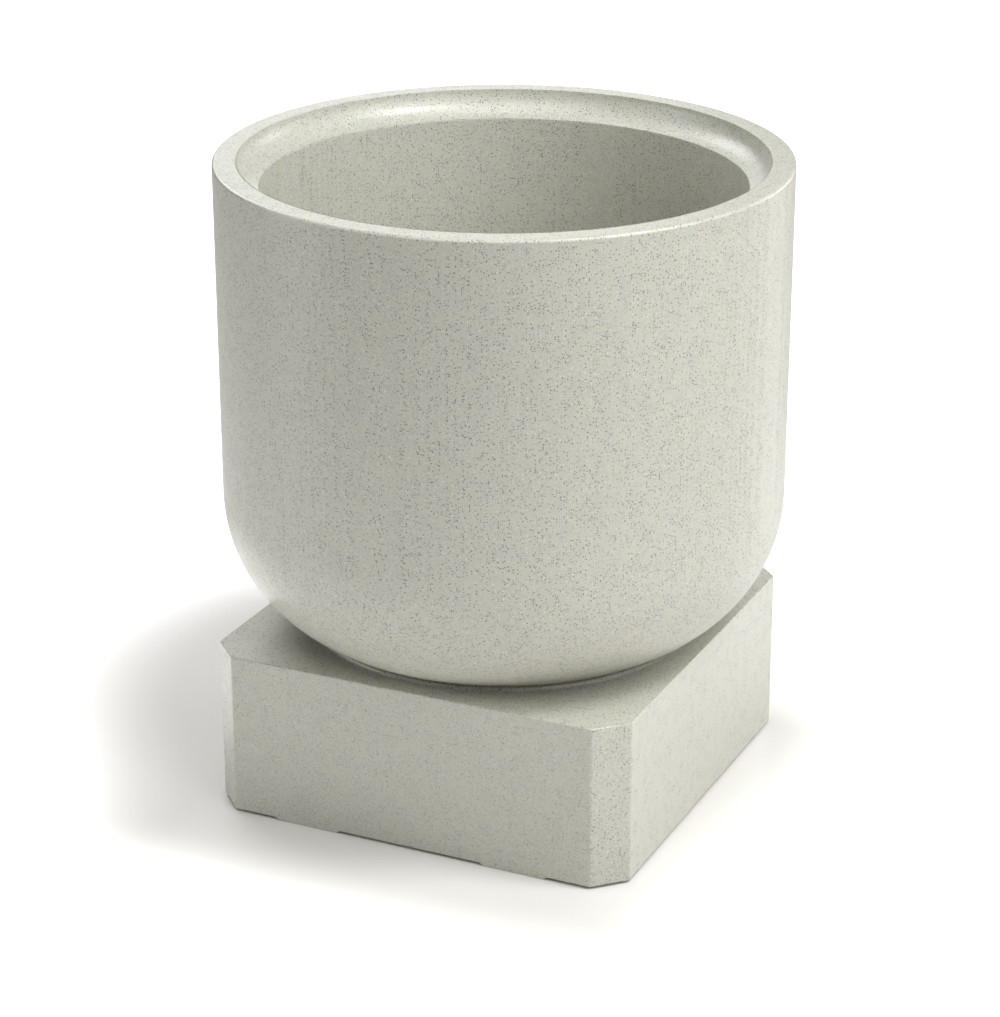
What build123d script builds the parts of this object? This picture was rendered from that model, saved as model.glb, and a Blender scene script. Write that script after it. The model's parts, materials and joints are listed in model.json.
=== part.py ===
"""A round, double-walled planter bowl bolted down on a square plinth with cut corners.

The frame: millimetres, +Z up, the origin on the ground under the middle of the plinth, and -Y
out of the plinth's front. The two mouldings are hollow. A screwed drain bush and four bolts
clamp the bowl on the raised round seat of the plinth, and a screwed plug closes the drain.
"""

import os
from math import cos, radians, sin, sqrt, tan

from build123d import *

# ---------------------------------------------------------------- driving dimensions

# the whole object
bowl_diameter = 600.0  # across the bowl's straight wall
overall_height = 690.0  # ground to rim
plinth_side = 475.0  # across the plinth's flats
plinth_height = 182.0  # ground to the plinth's deck
skin = 6.0  # thickness of a moulded wall

# the bowl's section
wall_depth = 47.0  # across both skins of the bowl's wall
rim_flat = 24.7  # width of the flat rim
cove_turn = 78.0  # degrees that the hollow shoulder inside the rim turns through
outer_bend = 161.0  # radius from the outer wall down to the foot
inner_bend = 114.0  # radius from the inner wall down to the floor
floor_depth = 30.5  # across both skins of the bowl's floor
rim_edge = 3.5  # rounding of the rim's outer edge
cove_edge = 1.5  # rounding where the flat rim drops into the cove
lip_edge = 2.0  # rounding where the cove meets the inner wall

# the plinth
corner_cut = 31.0  # leg of the 45 degree cut on each upright corner
deck_margin = 23.5  # plinth's flat to the edge of the round seat
seat_height = 4.0  # seat above the deck
seat_edge = 2.5  # rounding of the seat's edge
foot_inset = 4.0  # seat's edge to the edge of the bowl's foot
upright_edge = 2.0  # rounding of the plinth's upright edges
deck_edge = 1.5  # rounding of the plinth's top edges
bottom_edge = 1.0  # rounding of the plinth's bottom edges
skid_height = 3.0  # the two low skids that the plinth stands on
skid_width = 70.0  # at the ground
skid_centre = 120.0  # middle of the plinth to the middle of a skid
well_radius = 30.0  # the open well under the drain
well_roof = 16.0  # deck down to the roof of the well

# the ring between bowl and seat
gasket_width = 20.0
gasket_thickness = 3.0
gasket_margin = 25.0  # edge of the bowl's foot to the ring
gasket_side_gap = 0.3

# the drain
drain_tube_radius = 17.0
drain_bore_radius = 11.0
plug_thread_radius = 14.0
plug_thread_length = 18.0  # inside the bush
plug_point = 1.0  # chamfer at the foot of the plug's thread
plug_seat_depth = 22.0  # depth of the wide bore that takes the plug
drain_flange_radius = 26.0
drain_flange_thickness = 3.0
flange_seal_inset = 1.0  # edge of the flange to the edge of its seal
drain_tail = 22.0  # bush below the roof of the well
drain_hole_gap = 0.5  # round the bush in both mouldings
thread_gap = 0.05  # radial gap between screwed pieces
backnut_flats = 46.0
backnut_thickness = 8.0
backnut_washer_radius = 24.0
flat_seal = 2.0  # thickness of the rubber and steel washers
plug_head_radius = 22.0
plug_head_thickness = 4.0
plug_grip_length = 34.0
plug_grip_width = 7.0
plug_grip_height = 12.0
plug_seal_radius = 20.0
plug_seal_gap = 0.3  # round the plug's thread

# the four fixings
bolt_count = 4
bolt_edge_distance = 45.0  # edge of the bowl's flat floor to the bolt
bolt_radius = 5.0
bolt_length = 40.0
bolt_head_flats = 17.0
bolt_head_height = 6.4
bolt_hole_radius = 5.5
bolt_recess_radius = 14.0
bolt_recess_depth = 12.0
washer_radius = 10.0
seal_washer_radius = 12.0
insert_radius = 8.0
insert_length = 20.0
insert_groove = 1.0
insert_gap = 0.05
insert_floor = 4.0  # moulding under the blind end of an insert's boss

# the breather holes that moulding leaves, and their push-in plugs
vent_radius = 4.0
vent_head_radius = 8.0
vent_head_thickness = 1.6
vent_recess_depth = 2.0
vent_plug_length = 9.0
vent_gap = 0.1
plinth_vent_setback = 120.0  # behind the middle of the plinth

# ---------------------------------------------------------------- worked out from them

bowl_radius = bowl_diameter / 2
opening_radius = bowl_radius - wall_depth
cove_radius = bowl_radius - rim_flat
lip_z = overall_height - (cove_radius - opening_radius) / tan(radians(cove_turn / 2))
seat_z = plinth_height + seat_height
seat_radius = plinth_side / 2 - deck_margin
foot_radius = seat_radius - foot_inset
outer_bend_x = bowl_radius - outer_bend
outer_bend_z = seat_z + sqrt(outer_bend**2 - (foot_radius - outer_bend_x) ** 2)
floor_z = seat_z + floor_depth
floor_radius = opening_radius - inner_bend
roof_z = plinth_height - well_roof

gasket_outer = foot_radius - gasket_margin
gasket_inner = gasket_outer - gasket_width

drain_hole_radius = drain_tube_radius + drain_hole_gap
flange_z = floor_z + flat_seal
flange_top_z = flange_z + drain_flange_thickness
backnut_z = roof_z - flat_seal - backnut_thickness
plug_head_z = flange_top_z + flat_seal

bolt_circle_radius = floor_radius - bolt_edge_distance
recess_z = floor_z - bolt_recess_depth
bolt_head_z = recess_z + 2 * flat_seal
pillar_radius = bolt_recess_radius + skin
insert_top_z = seat_z
insert_boss_radius = insert_radius + skin
insert_boss_bottom_z = insert_top_z - insert_length - insert_floor
first_bolt_angle = 0.0
bowl_vent_angle = first_bolt_angle + 180 / bolt_count  # half way between two bolts
bowl_vent_x = bolt_circle_radius * cos(radians(bowl_vent_angle))
bowl_vent_y = bolt_circle_radius * sin(radians(bowl_vent_angle))


# ---------------------------------------------------------------- the bowl

# One hollow moulding: the section of its two skins is turned round the Z axis. The void
# between the skins is the section drawn in by the skin's thickness, which also leaves the
# sleeve round the drain.
with BuildPart() as bowl:
    with BuildSketch(Plane.XZ) as bowl_section:
        with BuildLine():
            foot = Line((drain_hole_radius, seat_z), (foot_radius, seat_z))
            lower = RadiusArc(foot @ 1, (bowl_radius, outer_bend_z), -outer_bend)
            outer_wall = Line(lower @ 1, (bowl_radius, overall_height))
            rim = Line(outer_wall @ 1, (cove_radius, overall_height))
            cove = TangentArc(rim @ 1, (opening_radius, lip_z), tangent=(0, -1))
            inner_wall = Line(cove @ 1, (opening_radius, floor_z + inner_bend))
            inner_turn = RadiusArc(inner_wall @ 1, (floor_radius, floor_z), inner_bend)
            floor_line = Line(inner_turn @ 1, (drain_hole_radius, floor_z))
            Line(floor_line @ 1, foot @ 0)
        make_face()
        fillet(bowl_section.vertices().group_by(Axis.Z)[-1].sort_by(Axis.X)[-1], rim_edge)
        fillet(bowl_section.vertices().group_by(Axis.Z)[-1].sort_by(Axis.X)[0], cove_edge)
        lip = bowl_section.vertices().sort_by_distance((opening_radius, 0, lip_z))[0]
        fillet(lip, lip_edge)
        offset(amount=-skin, mode=Mode.SUBTRACT)
    revolve(axis=Axis.Z)

    # a pillar joins the two skins of the floor round each bolt
    with BuildSketch(Plane.XY.offset(seat_z)):
        with PolarLocations(bolt_circle_radius, bolt_count, first_bolt_angle):
            Circle(pillar_radius)
    extrude(amount=floor_depth)
    with Locations(Plane.XY.offset(floor_z)):
        with PolarLocations(bolt_circle_radius, bolt_count, first_bolt_angle):
            CounterBoreHole(bolt_hole_radius, bolt_recess_radius, bolt_recess_depth)

    # the breather hole, in the underside, between two bolts
    with Locations(Plane((bowl_vent_x, bowl_vent_y, seat_z), z_dir=(0, 0, -1))):
        CounterBoreHole(vent_radius, vent_head_radius, vent_recess_depth, depth=2 * skin)
bowl.part.label = "bowl"


# ---------------------------------------------------------------- the plinth

# One hollow moulding: a square block with cut corners, a raised round seat on its deck, and a
# well up the middle for the drain. Its underside is relieved to leave two low skids that run
# from front to back.
with BuildPart() as plinth:
    with BuildSketch(Plane.XY) as plinth_plan:
        Rectangle(plinth_side, plinth_side)
        chamfer(plinth_plan.vertices(), corner_cut)
    extrude(amount=plinth_height)
    with BuildSketch(Plane.XZ.offset(-plinth_side / 2)):
        with Locations((0, skid_height / 2)):
            Trapezoid(2 * skid_centre - skid_width, skid_height, 45)
        with Locations((-plinth_side / 2, skid_height / 2), (plinth_side / 2, skid_height / 2)):
            Trapezoid(plinth_side - 2 * skid_centre - skid_width, skid_height, 45)
    extrude(amount=plinth_side, mode=Mode.SUBTRACT)

    # the outside edges are rounded, but not the skids' own edges along their length
    fillet(plinth.edges().filter_by(Axis.Z), upright_edge)
    fillet(plinth.faces().sort_by(Axis.Z)[-1].edges(), deck_edge)
    low_edges = plinth.edges().filter_by_position(Axis.Z, 0, skid_height)
    skid_edges = low_edges.filter_by(Axis.Y).filter_by_position(
        Axis.X, -skid_centre - skid_width, skid_centre + skid_width
    )
    fillet(low_edges - skid_edges, bottom_edge)

    # the void, drawn in by the skin on every side
    with BuildSketch(Plane.XY.offset(skid_height + skin)) as void_plan:
        Rectangle(plinth_side, plinth_side)
        chamfer(void_plan.vertices(), corner_cut)
        offset(amount=-skin, mode=Mode.REPLACE)
    extrude(amount=plinth_height - skid_height - 2 * skin, mode=Mode.SUBTRACT)

    # the seat
    with BuildSketch(Plane.XY.offset(plinth_height)):
        Circle(seat_radius)
    extrude(amount=seat_height)
    seat_rim = plinth.edges().filter_by(GeomType.CIRCLE).group_by(Axis.Z)[-1]
    fillet(seat_rim, seat_edge)
    with BuildSketch(Plane.XY.offset(seat_z)):
        Circle(gasket_outer + gasket_side_gap)
        Circle(gasket_inner - gasket_side_gap, mode=Mode.SUBTRACT)
    extrude(amount=-gasket_thickness, mode=Mode.SUBTRACT)

    # the well, and the drain's hole through its roof
    with BuildSketch(Plane.XY.offset(skid_height)):
        Circle(well_radius + skin)
    extrude(amount=plinth_height - skid_height)
    with BuildSketch(Plane.XY.offset(skid_height)):
        Circle(well_radius)
    extrude(amount=roof_z - skid_height, mode=Mode.SUBTRACT)
    with BuildSketch(Plane.XY.offset(roof_z)):
        Circle(drain_hole_radius)
    extrude(amount=seat_z - roof_z, mode=Mode.SUBTRACT)

    # a blind boss under the deck for each threaded insert
    with BuildSketch(Plane.XY.offset(insert_boss_bottom_z)):
        with PolarLocations(bolt_circle_radius, bolt_count, first_bolt_angle):
            Circle(insert_boss_radius)
    extrude(amount=plinth_height - insert_boss_bottom_z)
    with BuildSketch(Plane.XY.offset(insert_top_z - insert_length)):
        with PolarLocations(bolt_circle_radius, bolt_count, first_bolt_angle):
            Circle(insert_radius + insert_gap)
    extrude(amount=insert_length, mode=Mode.SUBTRACT)

    # the breather hole, in the underside, behind the well
    with Locations(Plane((0, plinth_vent_setback, skid_height), z_dir=(0, 0, -1))):
        CounterBoreHole(vent_radius, vent_head_radius, vent_recess_depth, depth=2 * skin)
plinth.part.label = "plinth"


# ---------------------------------------------------------------- the ring in the seat

with BuildPart() as seat_gasket:
    with BuildSketch(Plane.XY.offset(seat_z - gasket_thickness)):
        Circle(gasket_outer)
        Circle(gasket_inner, mode=Mode.SUBTRACT)
    extrude(amount=gasket_thickness)
seat_gasket.part.label = "seat_gasket"


# ---------------------------------------------------------------- the drain

# The bush: a flange on the floor, and a tube through bowl and deck into the well.
with BuildPart() as drain_bush:
    with BuildSketch(Plane.XZ):
        with BuildLine():
            Polyline(
                (drain_bore_radius, roof_z - drain_tail),
                (drain_tube_radius, roof_z - drain_tail),
                (drain_tube_radius, flange_z),
                (drain_flange_radius, flange_z),
                (drain_flange_radius, flange_top_z),
                (plug_thread_radius + thread_gap, flange_top_z),
                (plug_thread_radius + thread_gap, flange_top_z - plug_seat_depth),
                (drain_bore_radius, flange_top_z - plug_seat_depth),
                close=True,
            )
        make_face()
    revolve(axis=Axis.Z)
    flange_rim = drain_bush.edges().filter_by(GeomType.CIRCLE).group_by(Axis.Z)[-1]
    fillet(flange_rim.sort_by(SortBy.RADIUS)[-1], drain_flange_thickness / 3)
drain_bush.part.label = "drain_bush"

with BuildPart() as drain_bush_seal:
    with BuildSketch(Plane.XY.offset(floor_z)):
        Circle(drain_flange_radius - flange_seal_inset)
        Circle(drain_hole_radius, mode=Mode.SUBTRACT)
    extrude(amount=flat_seal)
drain_bush_seal.part.label = "drain_bush_seal"

with BuildPart() as drain_backnut_washer:
    with BuildSketch(Plane.XY.offset(roof_z - flat_seal)):
        Circle(backnut_washer_radius)
        Circle(drain_hole_radius, mode=Mode.SUBTRACT)
    extrude(amount=flat_seal)
drain_backnut_washer.part.label = "drain_backnut_washer"

with BuildPart() as drain_backnut:
    with BuildSketch(Plane.XY.offset(backnut_z)):
        RegularPolygon(backnut_flats / 2, side_count=6, major_radius=False)
        Circle(drain_tube_radius + thread_gap, mode=Mode.SUBTRACT)
    extrude(amount=backnut_thickness)
drain_backnut.part.label = "drain_backnut"

# The plug: a head with a grip across it, and its threaded stem, drawn plain.
with BuildPart() as drain_plug:
    with BuildSketch(Plane.XY.offset(plug_head_z)):
        Circle(plug_head_radius)
    extrude(amount=plug_head_thickness)
    fillet(drain_plug.edges().group_by(Axis.Z)[-1], plug_head_thickness / 4)
    with BuildSketch(Plane.XY.offset(plug_head_z + plug_head_thickness)):
        SlotOverall(plug_grip_length, plug_grip_width)
    extrude(amount=plug_grip_height)
    fillet(drain_plug.edges().group_by(Axis.Z)[-1], plug_grip_width / 4)
    with BuildSketch(Plane.XY.offset(plug_head_z)):
        Circle(plug_thread_radius)
    extrude(amount=-(plug_thread_length + flat_seal))
    chamfer(drain_plug.edges().group_by(Axis.Z)[0], plug_point)
drain_plug.part.label = "drain_plug"

with BuildPart() as drain_plug_seal:
    with BuildSketch(Plane.XY.offset(flange_top_z)):
        Circle(plug_seal_radius)
        Circle(plug_thread_radius + plug_seal_gap, mode=Mode.SUBTRACT)
    extrude(amount=flat_seal)
drain_plug_seal.part.label = "drain_plug_seal"


# ---------------------------------------------------------------- the four fixings

with BuildPart() as fixing_bolts:
    with BuildSketch(Plane.XY.offset(bolt_head_z)):
        with PolarLocations(bolt_circle_radius, bolt_count, first_bolt_angle):
            RegularPolygon(bolt_head_flats / 2, side_count=6, major_radius=False)
    extrude(amount=bolt_head_height)
    chamfer(fixing_bolts.edges().group_by(Axis.Z)[-1], bolt_head_height / 8)
    with BuildSketch(Plane.XY.offset(bolt_head_z)):
        with PolarLocations(bolt_circle_radius, bolt_count, first_bolt_angle):
            Circle(bolt_radius)
    extrude(amount=-bolt_length)
fixing_bolts.part.label = "fixing_bolts"


def ring_set(bottom_z, outer_radius, inner_radius, thickness):
    """One flat ring at each bolt."""
    with BuildPart() as rings:
        with BuildSketch(Plane.XY.offset(bottom_z)):
            with PolarLocations(bolt_circle_radius, bolt_count, first_bolt_angle):
                Circle(outer_radius)
                Circle(inner_radius, mode=Mode.SUBTRACT)
        extrude(amount=thickness)
    return rings


seal_washers = ring_set(recess_z, seal_washer_radius, bolt_radius + thread_gap, flat_seal)
seal_washers.part.label = "seal_washers"
fixing_washers = ring_set(recess_z + flat_seal, washer_radius, bolt_hole_radius, flat_seal)
fixing_washers.part.label = "fixing_washers"

# An insert is a threaded brass sleeve with a keying groove round its middle.
with BuildPart() as threaded_inserts:
    with BuildSketch(Plane.XY.offset(insert_top_z - insert_length)):
        with PolarLocations(bolt_circle_radius, bolt_count, first_bolt_angle):
            Circle(insert_radius)
            Circle(bolt_radius + thread_gap, mode=Mode.SUBTRACT)
    extrude(amount=insert_length)
    with BuildSketch(Plane.XY.offset(insert_top_z - insert_length / 2)):
        with PolarLocations(bolt_circle_radius, bolt_count, first_bolt_angle):
            Circle(insert_boss_radius)
            Circle(insert_radius - insert_groove, mode=Mode.SUBTRACT)
    extrude(amount=insert_groove, both=True, mode=Mode.SUBTRACT)
threaded_inserts.part.label = "threaded_inserts"


# ---------------------------------------------------------------- the breather plugs

# One closes the bowl's hole and one the plinth's. Both are pushed up from below.
with BuildPart() as vent_plugs:
    recess_roofs = (
        (bowl_vent_x, bowl_vent_y, seat_z + vent_recess_depth),
        (0, plinth_vent_setback, skid_height + vent_recess_depth),
    )
    for place in recess_roofs:
        with BuildSketch(Plane(place)):
            Circle(vent_head_radius - vent_gap)
        extrude(amount=-vent_head_thickness)
        with BuildSketch(Plane(place)):
            Circle(vent_radius - vent_gap)
        extrude(amount=vent_plug_length)
vent_plugs.part.label = "vent_plugs"


# ---------------------------------------------------------------- written out

pieces = (
    bowl,
    plinth,
    seat_gasket,
    drain_bush,
    drain_bush_seal,
    drain_backnut_washer,
    drain_backnut,
    drain_plug,
    drain_plug_seal,
    fixing_bolts,
    seal_washers,
    fixing_washers,
    threaded_inserts,
    vent_plugs,
)
os.makedirs("parts", exist_ok=True)
for piece in pieces:
    export_step(piece.part, f"parts/{piece.part.label}.step")
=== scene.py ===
# %% [markdown]
# # A round bowl planter on a square plinth
#
# The planter is two hollow mouldings in a stone-effect plastic: a round bowl with double walls,
# and a low square plinth with cut corners. A screwed drain bush and a few bolts hold the one on
# the other. The measured model of the planter is a fixed frame: this lesson finds each place in
# it and gives every piece its final shape and finish. Lengths are in metres throughout.

import json
from math import cos, pi, radians, sin, tan

import bmesh
import bpy
from mathutils import Matrix, Vector


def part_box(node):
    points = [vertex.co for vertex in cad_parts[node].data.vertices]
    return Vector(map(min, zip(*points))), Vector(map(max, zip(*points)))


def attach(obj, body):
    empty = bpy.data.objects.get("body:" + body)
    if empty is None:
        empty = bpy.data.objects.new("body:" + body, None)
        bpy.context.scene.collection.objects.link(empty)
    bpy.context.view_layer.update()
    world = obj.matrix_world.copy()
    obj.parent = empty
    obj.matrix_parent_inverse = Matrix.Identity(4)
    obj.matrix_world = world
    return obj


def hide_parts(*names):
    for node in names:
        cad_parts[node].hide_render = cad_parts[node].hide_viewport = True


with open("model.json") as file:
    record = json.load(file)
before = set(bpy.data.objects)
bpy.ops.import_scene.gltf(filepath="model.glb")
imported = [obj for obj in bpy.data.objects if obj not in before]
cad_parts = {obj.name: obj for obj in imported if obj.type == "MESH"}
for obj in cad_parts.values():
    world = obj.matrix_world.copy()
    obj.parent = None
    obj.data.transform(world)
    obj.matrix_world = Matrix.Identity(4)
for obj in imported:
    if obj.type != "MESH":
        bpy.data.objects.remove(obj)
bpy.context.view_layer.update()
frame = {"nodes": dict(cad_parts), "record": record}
nodes = frame["nodes"]
mm = 0.001

# %% [markdown]
# ## The camera
#
# A product picture is taken from a distance with a long lens, so that upright lines stay nearly
# upright. The camera is placed by the direction it looks along and its distance from a point
# on the planter's axis. It comes first because everything later is judged through it.

# %% Place the camera
def show(name, data):
    """A new object of the scene with this data."""
    made = bpy.data.objects.new(name, data)
    bpy.context.scene.collection.objects.link(made)
    return made


camera_azimuth = radians(24.88)  # from straight in front, round towards the right
camera_elevation = radians(21.99)
camera_distance = 3.295
camera_lens = 108.35
aim_height = 0.2983
aim_right = -0.0041

looking = -Vector(
    (
        sin(camera_azimuth) * cos(camera_elevation),
        -cos(camera_azimuth) * cos(camera_elevation),
        sin(camera_elevation),
    )
)
right_of_camera = looking.cross(Vector((0, 0, 1))).normalized()
aim = Vector((0, 0, aim_height)) + right_of_camera * aim_right

camera = show("camera", bpy.data.cameras.new("camera"))
camera.data.lens = camera_lens
camera.location = aim - looking * camera_distance
camera.rotation_euler = looking.to_track_quat("-Z", "Y").to_euler()
bpy.context.scene.camera = camera
print("the camera stands at", [round(v, 3) for v in camera.location])

# %% [markdown]
# ## Node trees in code
#
# Every material and every rule of shape below is a node tree. Written out in full, a node takes
# a line to make it and one more for each socket. These helpers make a node with its settings and
# its links in one call, so that the later cells read as a list of nodes.

# %% Helpers that build node trees
def add(tree, kind, inputs=None, **settings):
    """A node of this kind, with its settings and the values or links of its inputs."""
    node = tree.nodes.new(kind)
    for name, value in settings.items():
        setattr(node, name, value)
    for name, value in (inputs or {}).items():
        if isinstance(value, bpy.types.NodeSocket):
            tree.links.new(value, node.inputs[name])
        else:
            node.inputs[name].default_value = value
    return node


def math_node(tree, operation, first, second=0.0, third=0.0, clamp=False):
    """The result of one Math node."""
    node = add(tree, "ShaderNodeMath", operation=operation, use_clamp=clamp)
    for place, value in enumerate((first, second, third)):
        if isinstance(value, bpy.types.NodeSocket):
            tree.links.new(value, node.inputs[place])
        else:
            node.inputs[place].default_value = value
    return node.outputs[0]


def vector_node(tree, operation, first, second=(0, 0, 0)):
    """One Vector Math node."""
    return add(tree, "ShaderNodeVectorMath", {0: first, 1: second}, operation=operation)


# %% [markdown]
# ## The light
#
# A pale planter shows its shape by soft changes of tone alone, so it is lit from all round by
# round soft boxes. Those on the right are the stronger ones and model the wall from dark to
# light. The overhead box lights the rim and the deck, and the low ones at the left and the back
# draw a lighter edge down the shaded side. Each box is a direction, a diameter and a power, which
# makes a single one easy to change. The room adds almost nothing. The view transform is Standard,
# which leaves a pale object as pale as it is.

# %% Light the studio
room_strength = 0.01
box_distance = 3.0
aim_of_boxes = Vector((0, 0, 0.3))
soft_boxes = {
    # name: (azimuth from +X towards +Y, elevation, diameter, watts)
    "key": (0, 60, 0.9, 37),
    "overhead": (0, 88, 1.5, 18),
    "front_right": (329, 30, 2.2, 20),
    "high_right": (330, 60, 1.5, 12),
    "right": (0, 35, 1.5, 19),
    "high_front": (270, 60, 1.5, 15),
    "back_left": (150, 35, 1.5, 24),
    "low_front_left": (210, 12, 1.5, 18),
    "low_back_right": (60, 12, 1.5, 19),
    "low_back_left": (120, 12, 1.5, 10),
}

world = bpy.data.worlds.new("studio_room")
world.use_nodes = True
background = world.node_tree.nodes["Background"]
background.inputs["Color"].default_value = (1, 1, 1, 1)
background.inputs["Strength"].default_value = room_strength
bpy.context.scene.world = world
bpy.context.scene.view_settings.view_transform = "Standard"

for name, (azimuth, elevation, diameter, watts) in soft_boxes.items():
    light = bpy.data.lights.new(name, "AREA")
    light.shape = "DISK"
    light.size = diameter
    light.energy = watts
    box = show(name, light)
    out = Vector(
        (
            cos(radians(azimuth)) * cos(radians(elevation)),
            sin(radians(azimuth)) * cos(radians(elevation)),
            sin(radians(elevation)),
        )
    )
    box.location = aim_of_boxes + out * box_distance
    box.rotation_euler = out.to_track_quat("Z", "Y").to_euler()
print("soft boxes:", ", ".join(soft_boxes))

# %% [markdown]
# ## The floor
#
# The planter stands on a white sweep with a faint gloss. Lit by the boxes alone the sweep would
# turn grey away from the planter, so it also glows, and that glow is painted light. What the camera
# sees begins to glow at the plinth's edge and stays off round a point on the left. The boxes cast
# the soft shadow there, but where the glow starts sets its size and outline, so that outline is a
# painted shadow. What lights the planter is another painted glow: a ring round it, and a round
# patch on the left whose reflection brightens the bowl's lower bend. In a real studio a lit table
# and a reflector card do these two jobs.

# %% Lay the floor
floor_half = 15.0
sweep_colour = (0.87, 0.855, 0.83, 1)
sweep_roughness = 0.3

floor_corners = [(x, y, 0) for x, y in ((-1, -1), (1, -1), (1, 1), (-1, 1))]
floor_mesh = bpy.data.meshes.new("floor")
floor_mesh.from_pydata([Vector(c) * floor_half for c in floor_corners], [], [(0, 1, 2, 3)])
floor = show("floor", floor_mesh)

white_sweep = bpy.data.materials.new("white_sweep")
white_sweep.use_nodes = True
sweep_tree = white_sweep.node_tree
sweep_shader = sweep_tree.nodes["Principled BSDF"]
sweep_shader.inputs["Base Color"].default_value = sweep_colour
sweep_shader.inputs["Roughness"].default_value = sweep_roughness
sweep_shader.inputs["Emission Color"].default_value = (1, 1, 1, 1)
floor_mesh.materials.append(white_sweep)
sweep_place = add(sweep_tree, "ShaderNodeTexCoord").outputs["Object"]
print("floor", 2 * floor_half, "m wide")


# %% [markdown]
# Each glow is a sum or a product of smooth steps, and each step rises between two distances from
# the plinth's square or from a point. The distance to a square is the length of what remains
# of a place, folded into one quarter, once the square's half side has been taken off.

# %% Make the floor glow
def distance_from(x, y):
    """How far each place on the floor is from one point on it."""
    return vector_node(sweep_tree, "DISTANCE", sweep_place, (x, y, 0)).outputs["Value"]


def rise(distance, near, far):
    """A value that rises smoothly from 0 to 1 between two distances."""
    inputs = {"Value": distance, "From Min": near, "From Max": far}
    step = add(sweep_tree, "ShaderNodeMapRange", inputs, interpolation_type="SMOOTHSTEP")
    return step.outputs[0]


def fall(distance, near, far):
    """A value that falls smoothly from 1 to 0 between two distances."""
    return math_node(sweep_tree, "SUBTRACT", 1.0, rise(distance, near, far))


glow_shift = (0.01, 0.05, 0)  # the glow starts this much further out on the left and in front
glow_width = 0.22
shadow_centre, shadow_full, shadow_end = (-0.16, 0.13), 0.28, 0.56
ring_glow, ring_inside, ring_outside = 0.32, (0.34, 0.55), (0.8, 1.6)
card_glow, card_centre, card_full, card_end = 0.75, (-0.6, -0.03), 0.15, 0.36

square_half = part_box("plinth")[1].x
shifted = vector_node(sweep_tree, "ADD", sweep_place, glow_shift).outputs[0]
folded = vector_node(sweep_tree, "ABSOLUTE", shifted).outputs[0]
beyond = vector_node(sweep_tree, "SUBTRACT", folded, (square_half,) * 3).outputs[0]
clear = vector_node(sweep_tree, "MAXIMUM", beyond).outputs[0]
from_plinth = vector_node(sweep_tree, "LENGTH", clear).outputs["Value"]
past_plinth = rise(from_plinth, 0.0, glow_width)
# painted shadow: the camera's glow stays off round this point, which sets the soft shadow's outline
past_shadow = rise(distance_from(*shadow_centre), shadow_full, shadow_end)
backdrop = math_node(sweep_tree, "MULTIPLY", past_plinth, past_shadow)

from_axis = distance_from(0, 0)
clear_of_base = math_node(sweep_tree, "MULTIPLY", rise(from_axis, *ring_inside), ring_glow)
ring = math_node(sweep_tree, "MULTIPLY", clear_of_base, fall(from_axis, *ring_outside))
# painted light: a glowing round patch of floor, seen only by the planter, that brightens the bowl's
# lower bend
on_card = fall(distance_from(*card_centre), card_full, card_end)
cast = math_node(sweep_tree, "MULTIPLY_ADD", on_card, card_glow, ring)
seen = add(sweep_tree, "ShaderNodeLightPath").outputs["Is Camera Ray"]
glow = add(
    sweep_tree, "ShaderNodeMix", {"Factor": seen, "A": cast, "B": backdrop}, data_type="FLOAT"
)
sweep_tree.links.new(glow.outputs["Result"], sweep_shader.inputs["Emission Strength"])
print("the glow starts", round(square_half / mm, 1), "mm from the axis")

# %% [markdown]
# ## The stone effect
#
# The moulding powder is mixed with coloured grains, which melt into specks of about a
# millimetre: many dark ones, some tan and a few pale. Each kind is a Voronoi pattern, where a
# speck shows at the middle of a cell if the cell's own random number lets it. Both mouldings
# use the same effect, so it is a shader node group with the speck's size and share as inputs.

# %% Build the speck group
def new_group(name, inputs, outputs):
    """An empty shader node group with float inputs {name: default} and outputs {name: type}."""
    group = bpy.data.node_groups.new(name, "ShaderNodeTree")
    for socket, default in inputs.items():
        made = group.interface.new_socket(socket, in_out="INPUT", socket_type="NodeSocketFloat")
        made.default_value = default
    for socket, kind in outputs.items():
        group.interface.new_socket(socket, in_out="OUTPUT", socket_type=kind)
    return group, add(group, "NodeGroupInput"), add(group, "NodeGroupOutput")


specks_group, given, result = new_group(
    "specks",
    {"Spacing mm": 3.0, "Radius mm": 0.6, "Share": 0.5, "Softness mm": 0.2, "Shift": 0.0},
    {"Mask": "NodeSocketFloat"},
)
smallest, size_range = 0.5, 0.7  # a speck has 0.5 to 1.2 times the radius that is asked for

place = add(specks_group, "ShaderNodeTexCoord").outputs["Object"]
moved = vector_node(specks_group, "ADD", place, given.outputs["Shift"])
cells_per_metre = math_node(specks_group, "DIVIDE", 1 / mm, given.outputs["Spacing mm"])
cells = add(
    specks_group,
    "ShaderNodeTexVoronoi",
    {"Vector": moved.outputs[0], "Scale": cells_per_metre},
    feature="F1",
)
away_mm = math_node(
    specks_group, "MULTIPLY", cells.outputs["Distance"], given.outputs["Spacing mm"]
)
chance = add(specks_group, "ShaderNodeSeparateColor", {"Color": cells.outputs["Color"]})
kept = math_node(specks_group, "LESS_THAN", chance.outputs["Red"], given.outputs["Share"])
grown = math_node(
    specks_group, "MULTIPLY_ADD", chance.outputs["Green"], size_range, smallest
)
radius_mm = math_node(specks_group, "MULTIPLY", given.outputs["Radius mm"], grown)
inside_mm = math_node(specks_group, "SUBTRACT", radius_mm, away_mm)
soft = math_node(specks_group, "DIVIDE", inside_mm, given.outputs["Softness mm"], clamp=True)
mask = math_node(specks_group, "MULTIPLY", soft, kept)
specks_group.links.new(mask, result.inputs["Mask"])
print("speck group with inputs", [s.name for s in given.outputs if s.name])
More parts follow.
